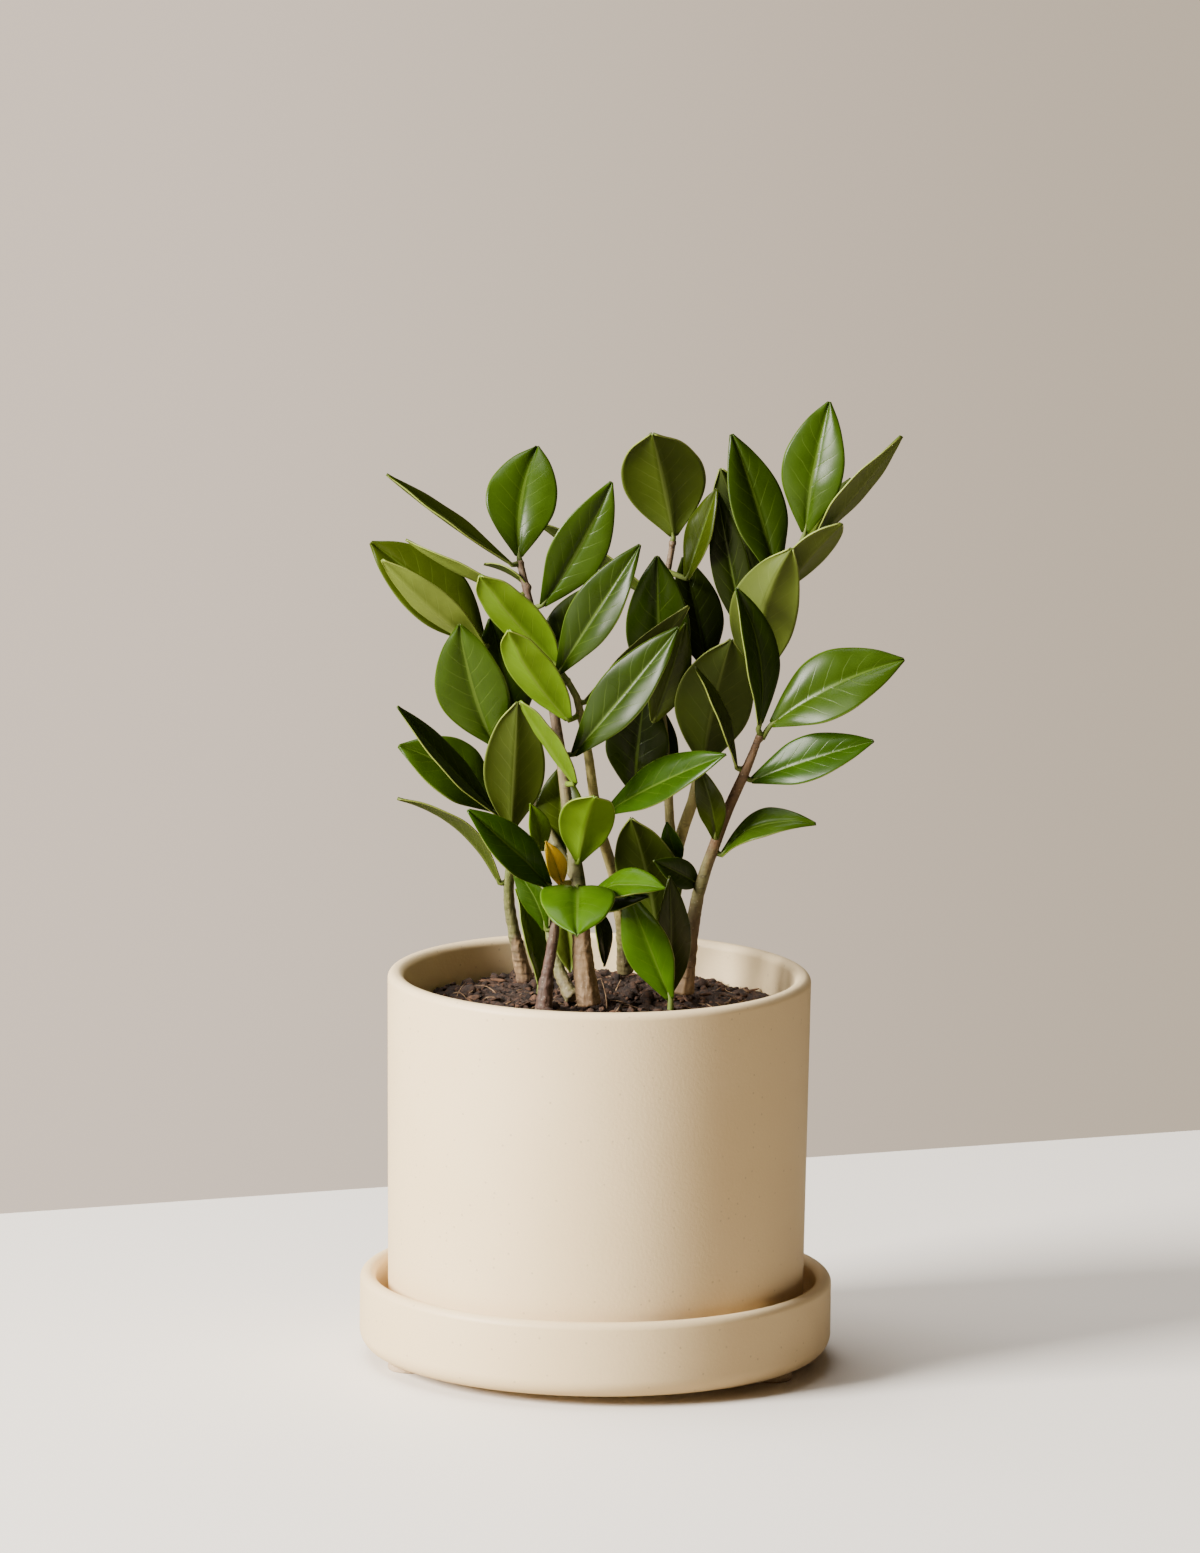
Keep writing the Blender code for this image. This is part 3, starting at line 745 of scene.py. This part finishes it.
# %% Stems
VOXEL = 0.42
SWELLING = 1.28
ON_STEM = 1.6
MELT = [("REMESH", {"mode": "VOXEL", "voxel_size": VOXEL * MM}),
        ("SMOOTH", {"factor": 0.5, "iterations": 6})]
BARK_TOP, BARK_FULL = 150, 116
SHEATH_TOPS = {"stem_left": 121, "stem_right": 124, "stem_front_left": 118,
               "stem_rear_right": 122, "stem_centre": 128, "stem_rear": 114,
               "stem_front_leaning": 113}


def stem_body(name):
    """The stem with its swellings, melted into one smooth closed skin."""
    shape = merged_copy(name)
    tree = BVHTree.FromBMesh(shape)
    for root in stalk_roots:
        spot, normal, _, distance = tree.find_nearest(root)
        if distance < ON_STEM * MM:
            bmesh.ops.create_icosphere(shape, subdivisions=2, radius=SWELLING * MM,
                                       matrix=Matrix.Translation(spot - normal * 0.55 * MM))
    return after_modifiers(name + "_body", shape, MELT)


def carve_bark(shape, name):
    """Rings, furrows and the ragged edge of the papery sheath, along the normals."""
    shape.normal_update()
    top = SHEATH_TOPS[name]
    for vertex in shape.verts:
        place = vertex.co / MM
        barky = ease(BARK_TOP, BARK_FULL, place.z)
        ring = noise.noise(Vector((place.x * 0.12, place.y * 0.12, place.z * 0.75)))
        furrow = noise.noise(Vector((place.x * 1.3, place.y * 1.3, place.z * 0.3)))
        ragged = top + 2.5 * noise.noise(Vector((place.x * 0.7, place.y * 0.7, 3.0)))
        sheath = ease(ragged + 0.5, ragged - 0.2, place.z)
        grow = 0.06 + 0.20 * sheath + barky * (0.22 * ring + 0.20 * furrow)
        vertex.co += vertex.normal * (grow * MM)


def make_stem(name):
    shape = stem_body(name)
    carve_bark(shape, name)
    piece = add_piece(name.replace("stem", "stalk"), shape, (STEM_SKIN,), (name,))
    colours = []
    for vertex in piece.data.vertices:
        place = vertex.co / MM
        blur = 9 * noise.noise(place * 0.16) + 4 * noise.noise(place * 0.6)
        colours += [*colour_at(STEM_STOPS[name], place.z + blur), 1.0]
    colour_layer(piece.data, "skin", colours)
    return piece


stems = [make_stem(name) for name in STEMS]
print("stem faces:", [len(piece.data.polygons) for piece in stems])

# %% [markdown]
# ## Potting mix
# The mix is damp bark and peat: a lumpy surface with crumbs, chips and a few pale fibres.
# The top of the solid is cut off with a plane, remeshed into small even faces and pushed up
# and down with noise at three sizes. Crumbs and chips are a few rough lumps, turned and
# scattered over it; fibres are thin bent rods.

# %% Potting mix material


def build_earth():
    tree, given, leave = new_group(
        "earth", [("Dark", COLOUR, (0.02, 0.012, 0.008, 1)),
                  ("Light", COLOUR, (0.12, 0.07, 0.04, 1)), ("Scale", FLOAT, 300.0)],
        [("Colour", COLOUR), ("Height", FLOAT)])
    solid = object_place(tree)
    rough = noise_texture(tree, solid, given["Scale"], 6.0, 0.7)
    lumps = add_node(tree, "ShaderNodeTexVoronoi",
                     [("Vector", solid), ("Scale", given["Scale"])])
    shade = soft_step(tree, rough, 0.40, 0.68)
    colour = mix_colour(tree, shade, given["Dark"], given["Light"])
    height = math_node(tree, "SUBTRACT", rough,
                       math_node(tree, "MULTIPLY", lumps.outputs["Distance"], 0.6))
    give_out(tree, leave, Colour=colour, Height=height)
    return tree


EARTH = build_earth()


def earth_material(name, dark, light, scale, relief):
    """Damp earth or bark; the scale is in lumps per metre and the relief in millimetres."""
    material, tree, shader = new_material(name, Roughness=0.88)
    earth = place_group(tree, EARTH, [("Dark", (*dark, 1)), ("Light", (*light, 1)),
                                      ("Scale", scale)])
    tree.links.new(earth["Colour"], shader.inputs["Base Color"])
    bump(tree, shader, earth["Height"], relief * MM)
    return material


MIX_EARTH = earth_material("mix_earth", (0.012, 0.005, 0.003), (0.060, 0.026, 0.012), 420.0, 0.8)
MIX_CRUMB = earth_material("mix_crumb", (0.014, 0.006, 0.003), (0.105, 0.045, 0.020), 600.0, 0.5)
MIX_CHIP = earth_material("mix_chip", (0.035, 0.015, 0.007), (0.170, 0.080, 0.038), 350.0, 0.3)
MIX_FIBRE = earth_material("mix_fibre", (0.160, 0.090, 0.045), (0.400, 0.260, 0.140), 500.0, 0.1)

# %% Potting mix
MIX_DEPTH = 9.0
MIX_VOXEL = 0.75
MIX_FLAT_BASE = 1.5
mix_low, mix_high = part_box("potting_mix")
mix_radius = (mix_high.x - mix_low.x) / 2


def make_mix():
    shape = merged_copy("potting_mix")
    cut = mix_high.z - MIX_DEPTH * MM
    bmesh.ops.bisect_plane(shape, geom=list(shape.verts) + list(shape.edges) + list(shape.faces),
                           plane_co=(0, 0, cut), plane_no=(0, 0, -1), clear_outer=True)
    bmesh.ops.holes_fill(shape, edges=[edge for edge in shape.edges if edge.is_boundary],
                         sides=200)
    shape = after_modifiers("mix_body", shape, [("REMESH", {"mode": "VOXEL",
                                                            "voxel_size": MIX_VOXEL * MM})])
    for vertex in shape.verts:
        place = vertex.co / MM
        depth = mix_high.z / MM - place.z
        if depth > MIX_DEPTH - MIX_FLAT_BASE:
            continue
        lump_height = (1.3 * noise.noise(place * 0.10) + 1.2 * noise.noise(place * 0.28)
                       + 0.9 * noise.noise(place * 0.62) - 0.5)
        vertex.co.z += lump_height * MM
    shape.normal_update()
    return add_piece("mix_top", shape, (MIX_EARTH,), ("potting_mix",))


mix_top = make_mix()
print("potting mix faces:", len(mix_top.data.polygons))

# %% Crumbs, chips and fibres
draw = random.Random(7)
top_tree = BVHTree.FromPolygons([vertex.co for vertex in mix_top.data.vertices],
                                [polygon.vertices for polygon in mix_top.data.polygons])


def spot_on_mix():
    """A random place on the mix: the point and the way it faces."""
    while True:
        radius = mix_radius * math.sqrt(draw.random()) * 0.97
        angle = draw.uniform(0, math.tau)
        above = Vector((radius * math.cos(angle), radius * math.sin(angle), mix_high.z + 0.02))
        spot, normal, _, _ = top_tree.ray_cast(above, Vector((0, 0, -1)))
        if spot:
            return spot, normal


def rough_lump(stretch, detail):
    """One rough lump as a mesh, to be copied around."""
    shape = bmesh.new()
    bmesh.ops.create_icosphere(shape, subdivisions=detail, radius=1.0)
    seed = Vector((draw.uniform(0, 50), 0, 0))
    for vertex in shape.verts:
        vertex.co *= 1 + 0.55 * noise.noise(vertex.co * 1.4 + seed)
        vertex.co *= Vector(stretch)
    mesh = bpy.data.meshes.new("lump")
    shape.to_mesh(mesh)
    shape.free()
    return mesh


def scatter(name, lumps, count, sizes, material):
    """Copies of the lumps, turned at random, half sunk into the mix."""
    shape = bmesh.new()
    for _ in range(count):
        spot, normal = spot_on_mix()
        size = draw.uniform(*sizes) * MM
        turn = Matrix.Rotation(draw.uniform(0, math.tau), 4, "Z")
        tilt = Matrix.Rotation(draw.uniform(-0.9, 0.9), 4, "X")
        place = Matrix.Translation(spot + normal * size * 0.25) @ turn @ tilt
        copy = draw.choice(lumps).copy()
        copy.transform(place @ Matrix.Scale(size, 4))
        shape.from_mesh(copy)
        bpy.data.meshes.remove(copy)
    return add_piece(name, shape, (material,))


crumb_lumps = [rough_lump((1.0, draw.uniform(0.6, 1.0), draw.uniform(0.5, 0.9)), 2)
               for _ in range(7)]
chip_lumps = [rough_lump((1.6, draw.uniform(0.5, 0.9), draw.uniform(0.18, 0.35)), 2)
              for _ in range(5)]
crumbs = scatter("mix_crumbs", crumb_lumps, 620, (0.5, 1.5), MIX_CRUMB)
clods = scatter("mix_clods", crumb_lumps, 90, (1.5, 2.9), MIX_EARTH)
chips = scatter("mix_chips", chip_lumps, 120, (0.8, 2.2), MIX_CHIP)


def make_fibres(count):
    shape = bmesh.new()
    for _ in range(count):
        spot, normal = spot_on_mix()
        heading = Vector((draw.uniform(-1, 1), draw.uniform(-1, 1), draw.uniform(-0.1, 0.35)))
        side = normal.cross(heading).normalized() * draw.uniform(-1.5, 1.5) * MM
        length = draw.uniform(4, 11) * MM
        inside = 1 - ease(0.75, 0.95, spot.xy.length / mix_radius)
        heading = heading.normalized() * length * (0.3 + 0.7 * inside)
        start = spot - normal * 0.3 * MM
        path = [start + heading * share + side * math.sin(share * math.pi)
                + normal * (1.6 * MM * share * (1 - share) + 0.2 * MM)
                for share in (0, 0.25, 0.5, 0.75, 1)]
        thick = draw.uniform(0.10, 0.28) * MM
        swept_rod(shape, path, [thick, thick, thick * 0.9, thick * 0.7, thick * 0.3], sides=5)
    return add_piece("mix_fibres", shape, (MIX_FIBRE,))


fibres = make_fibres(110)
print("crumbs, clods, chips, fibres:",
      [len(piece.data.polygons) for piece in (crumbs, clods, chips, fibres)])

# %% [markdown]
# ## Stoneware
# The pot and its saucer are thrown stoneware with a matt cream glaze: faintly cloudy, with
# fine warm specks where iron in the clay shows through. Both are turned shapes, so a profile
# is spun round the axis; a soft lip and foot come from rounding the profile's corners with
# bevels before the spin. The saucer stands on a disc a little below the rest of its base.

# %% Stoneware material
STONEWARE, ware_nodes, ware_shader = new_material("cream_stoneware", Roughness=0.5)
ware_place = object_place(ware_nodes)
ware_cloud = noise_texture(ware_nodes, ware_place, 22.0, 5.0)
ware_grain = noise_texture(ware_nodes, ware_place, 1100.0, 3.0)
ware_cells = add_node(ware_nodes, "ShaderNodeTexVoronoi",
                      [("Vector", ware_place), ("Scale", 420.0), ("Randomness", 1.0)])
ware_pick = add_node(ware_nodes, "ShaderNodeSeparateColor",
                     [("Color", ware_cells.outputs["Color"])]).outputs[0]
ware_speck = soft_step(ware_nodes, ware_cells.outputs["Distance"], 0.20, 0.10)
ware_speck = math_node(ware_nodes, "MULTIPLY", ware_speck,
                       soft_step(ware_nodes, ware_pick, 0.72, 0.85))
ware_colour = mix_colour(ware_nodes, ware_cloud, (0.80, 0.61, 0.345), (0.87, 0.69, 0.43))
for mask, strength, colour in ((ware_speck, 0.55, (0.52, 0.38, 0.22)),
                               (ware_grain, 0.10, (0.60, 0.50, 0.36))):
    mask = math_node(ware_nodes, "MULTIPLY", mask, strength)
    ware_colour = mix_colour(ware_nodes, mask, ware_colour, colour)
ware_nodes.links.new(ware_colour, ware_shader.inputs["Base Color"])
ware_height = math_node(ware_nodes, "MULTIPLY_ADD", ware_grain, 0.5, ware_cloud)
bump(ware_nodes, ware_shader, ware_height, 0.12 * MM)

# %% Turned pot and saucer
SPIN_STEPS = 144
POT_WALL = 5.0
POT_FLOOR = 6.0
POT_TAPER = 1.2
INNER_TAPER = 1.1
SAUCER_WALL = 4.8
SAUCER_FLOOR = 6.0
DRAIN_RADIUS = 5.0
DISC_RADIUS = 24.0
DISC_STEP = 0.3


def turned_shape(profile, rounds, closed=True):
    """Spin a profile of (radius, height) corners; each corner has its own rounding."""
    shape = bmesh.new()
    corners = [shape.verts.new((radius * MM, 0, height * MM)) for radius, height in profile]
    for first, second in zip(corners, corners[1:] + (corners[:1] if closed else [])):
        shape.edges.new((first, second))
    for corner, rounding in zip(corners, rounds):
        if rounding:
            bmesh.ops.bevel(shape, geom=[corner], offset=rounding * MM, segments=10,
                            profile=0.5, affect="VERTICES", offset_type="OFFSET", material=-1)
    bmesh.ops.spin(shape, geom=list(shape.verts) + list(shape.edges), cent=(0, 0, 0),
                   axis=(0, 0, 1), angle=math.tau, steps=SPIN_STEPS, use_merge=True)
    bmesh.ops.remove_doubles(shape, verts=shape.verts, dist=0.002 * MM)
    bmesh.ops.recalc_face_normals(shape, faces=shape.faces)
    return shape


def solid_size(node):
    """Outer radius, lowest and highest point of a round solid, in millimetres."""
    low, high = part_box(node)
    return high.x / MM, low.z / MM, high.z / MM


pot_radius, pot_low, pot_high = solid_size("pot")
foot_radius = pot_radius - POT_TAPER
floor_radius = pot_radius - INNER_TAPER - POT_WALL
pot_shape = turned_shape(
    [(DRAIN_RADIUS, pot_low), (foot_radius, pot_low), (pot_radius, pot_high),
     (pot_radius - POT_WALL, pot_high), (floor_radius, pot_low + POT_FLOOR),
     (DRAIN_RADIUS, pot_low + POT_FLOOR)],
    [0.4, 3.6, 2.3, 2.3, 5.0, 0.4])
add_piece("pot_glazed", pot_shape, (STONEWARE,), ("pot",))

saucer_radius, _, saucer_high = solid_size("saucer")
well_radius = saucer_radius - SAUCER_WALL
saucer_shape = turned_shape(
    [(0.0, 0.0), (DISC_RADIUS, 0.0), (DISC_RADIUS + 0.4, DISC_STEP), (saucer_radius, DISC_STEP),
     (saucer_radius, saucer_high), (well_radius, saucer_high), (well_radius, SAUCER_FLOOR),
     (0.0, SAUCER_FLOOR)],
    [0.0, 0.0, 0.0, 6.0, 2.3, 2.3, 3.0, 0.0], closed=False)
add_piece("saucer_glazed", saucer_shape, (STONEWARE,), ("saucer",))
print("pot and saucer radius in mm:", round(pot_radius, 1), round(saucer_radius, 1))

# %% [markdown]
# ## Felt pads
# Three stuck-on pads of tan felt keep the saucer off the table. Each is a short cylinder
# with softly rounded edges, a little squashed and fuzzy, so its surface is pushed about by
# fine noise and its colour is mottled by crossing fibres.

# %% Felt material and pads
FELT, felt_nodes, felt_shader = new_material("felt", Roughness=0.95)
felt_shader.inputs["Sheen Weight"].default_value = 0.3
felt_place = object_place(felt_nodes)
felt_fuzz = noise_texture(felt_nodes, felt_place, 1500.0, 4.0)
felt_patch = noise_texture(felt_nodes, felt_place, 260.0, 2.0)
felt_mix = math_node(felt_nodes, "MULTIPLY_ADD", felt_fuzz, 0.7,
                     math_node(felt_nodes, "MULTIPLY", felt_patch, 0.3))
felt_colour = mix_colour(felt_nodes, felt_mix, (0.30, 0.20, 0.11), (0.72, 0.56, 0.38))
felt_nodes.links.new(felt_colour, felt_shader.inputs["Base Color"])
bump(felt_nodes, felt_shader, felt_fuzz, 0.3 * MM)

PAD_SEGMENTS = 72
PAD_ROUNDING = 0.55
PAD_RAGGEDNESS = 0.12


def make_pad(node):
    low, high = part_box(node)
    middle, size = (low + high) / 2, high - low
    shape = bmesh.new()
    bmesh.ops.create_cone(shape, cap_ends=True, segments=PAD_SEGMENTS, radius1=size.x / 2,
                          radius2=size.x / 2, depth=size.z)
    rims = [edge for edge in shape.edges if abs(edge.verts[0].co.z - edge.verts[1].co.z) < 1e-6]
    bmesh.ops.bevel(shape, geom=rims, offset=PAD_ROUNDING * MM, segments=4, profile=0.5,
                    affect="EDGES", offset_type="OFFSET", material=-1)
    sides = [edge for edge in shape.edges
             if abs(edge.verts[0].co.z - edge.verts[1].co.z) > size.z * 0.3]
    bmesh.ops.subdivide_edges(shape, edges=sides, cuts=4)
    bmesh.ops.translate(shape, verts=shape.verts, vec=middle)
    shape.normal_update()
    for vertex in shape.verts:
        out = Vector((vertex.normal.x, vertex.normal.y, 0))
        vertex.co += out * (PAD_RAGGEDNESS * MM * noise.noise(vertex.co / MM * 0.9))
    return add_piece(node + "_felt", shape, (FELT,), (node,))


pads = [make_pad(node) for node in ("pad_left", "pad_right", "pad_back")]
print("pads:", len(pads))

# %% [markdown]
# ## Table, light and camera
# The plant stands on a pale table that ends a little way behind it, against a warm grey
# room whose seen colour is painted light: lighter on the left, where the light comes from,
# and darker on the right. A large soft light from the upper left in front gives the slow
# shading round the pot and the soft sheen on the leaflets, and a weak one above opens the
# shadows. The table and the room each have two colours: the one that is seen, and a duller
# one for the light they give back, so the far side of the pot stays deep and warm. The camera
# is far away with a long lens, which keeps the pot's sides almost parallel.

# %% Table and room
TABLE_SEEN = (0.95, 0.905, 0.86)
TABLE_BOUNCE = (0.50, 0.435, 0.34)
# painted light on the room: lighter on the left, where the light comes from, darker on the right
ROOM_LIT_LEFT = (1.10, 0.91, 0.74)
ROOM_SHADED_RIGHT = (0.70, 0.575, 0.44)
ROOM_FILL = (0.065, 0.050, 0.034)


def seen_or_given(tree, given, seen):
    """One colour for what is seen, another for the light that is given to other things."""
    straight = add_node(tree, "ShaderNodeLightPath").outputs["Is Camera Ray"]
    return mix_colour(tree, straight, given, seen)


TABLE, table_nodes, table_shader = new_material("table_top", Roughness=0.6)
table_colour = seen_or_given(table_nodes, TABLE_BOUNCE, TABLE_SEEN)
table_nodes.links.new(table_colour, table_shader.inputs["Base Color"])
PAD_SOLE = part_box("pad_left")[0].z
TABLE_BACK = ((-0.193, 0.192), (0.204, 0.346))
TABLE_REACH = 6.0

table_shape = bmesh.new()
back_left, back_right = (Vector((*point, PAD_SOLE)) for point in TABLE_BACK)
along_back = (back_right - back_left).normalized()
toward_front = Vector((along_back.y, -along_back.x, 0.0))
middle_back = (back_left + back_right) / 2
bmesh.ops.create_grid(table_shape, x_segments=1, y_segments=1, size=TABLE_REACH)
for vertex in table_shape.verts:
    side, depth = vertex.co.x, TABLE_REACH - vertex.co.y
    vertex.co = middle_back + along_back * side + toward_front * depth
turn_faces(table_shape, Vector((0, 0, 1)))
table_mesh = bpy.data.meshes.new("table")
table_shape.to_mesh(table_mesh)
table_shape.free()
table_mesh.materials.append(TABLE)
table = bpy.data.objects.new("table", table_mesh)
bpy.context.scene.collection.objects.link(table)

world = bpy.data.worlds.new("room")
bpy.context.scene.world = world
world.use_nodes = True
room = world.node_tree
heading = add_node(room, "ShaderNodeTexCoord").outputs["Generated"]
heading = add_node(room, "ShaderNodeSeparateXYZ", [("Vector", heading)]).outputs["X"]
# the seen room goes from painted light on the left to painted shade on the right
wall = mix_colour(room, soft_step(room, heading, -0.06, 0.06), ROOM_LIT_LEFT, ROOM_SHADED_RIGHT)
room.links.new(seen_or_given(room, ROOM_FILL, wall), room.nodes["Background"].inputs["Color"])

# %% Lights
LIGHTS = {
    "key_light": {"place": (-2.15, -1.15, 1.2), "aim": (0, 0, 0.12), "size": (1.0, 1.0),
                  "power": 300.0, "colour": (1.0, 0.955, 0.875)},
    "top_light": {"place": (-0.5, 0.3, 2.1), "aim": (0, 0, 0.1), "size": (1.4, 1.2),
                  "power": 46.0, "colour": (1.0, 0.96, 0.90)},
}


def soft_light(name, place, aim, size, power, colour):
    lamp = bpy.data.lights.new(name, "AREA")
    lamp.shape = "RECTANGLE"
    lamp.size, lamp.size_y = size
    lamp.energy = power
    lamp.color = colour
    holder = bpy.data.objects.new(name, lamp)
    holder.location = place
    holder.rotation_mode = "QUATERNION"
    holder.rotation_quaternion = (Vector(aim) - Vector(place)).to_track_quat("-Z", "Y")
    holder.visible_camera = False
    bpy.context.scene.collection.objects.link(holder)


for name, values in LIGHTS.items():
    soft_light(name, **values)

# %% Camera
CAMERA_PLACE = Vector((-0.0006, -3.55, 0.827))
CAMERA_AIM = Vector((-0.0006, 0.0, 0.179))
CAMERA_ROLL = 0.72
LENS = 273.5
SENSOR_WIDTH = 36.0

lens = bpy.data.cameras.new("camera")
lens.lens = LENS
lens.sensor_width = SENSOR_WIDTH
lens.clip_start, lens.clip_end = 0.1, 60.0
camera = bpy.data.objects.new("camera", lens)
look = (CAMERA_AIM - CAMERA_PLACE).to_track_quat("-Z", "Y")
roll = Matrix.Rotation(math.radians(CAMERA_ROLL), 3, "Z").to_quaternion()
camera.rotation_mode = "QUATERNION"
camera.rotation_quaternion = look @ roll
camera.location = CAMERA_PLACE
bpy.context.scene.collection.objects.link(camera)
bpy.context.scene.camera = camera
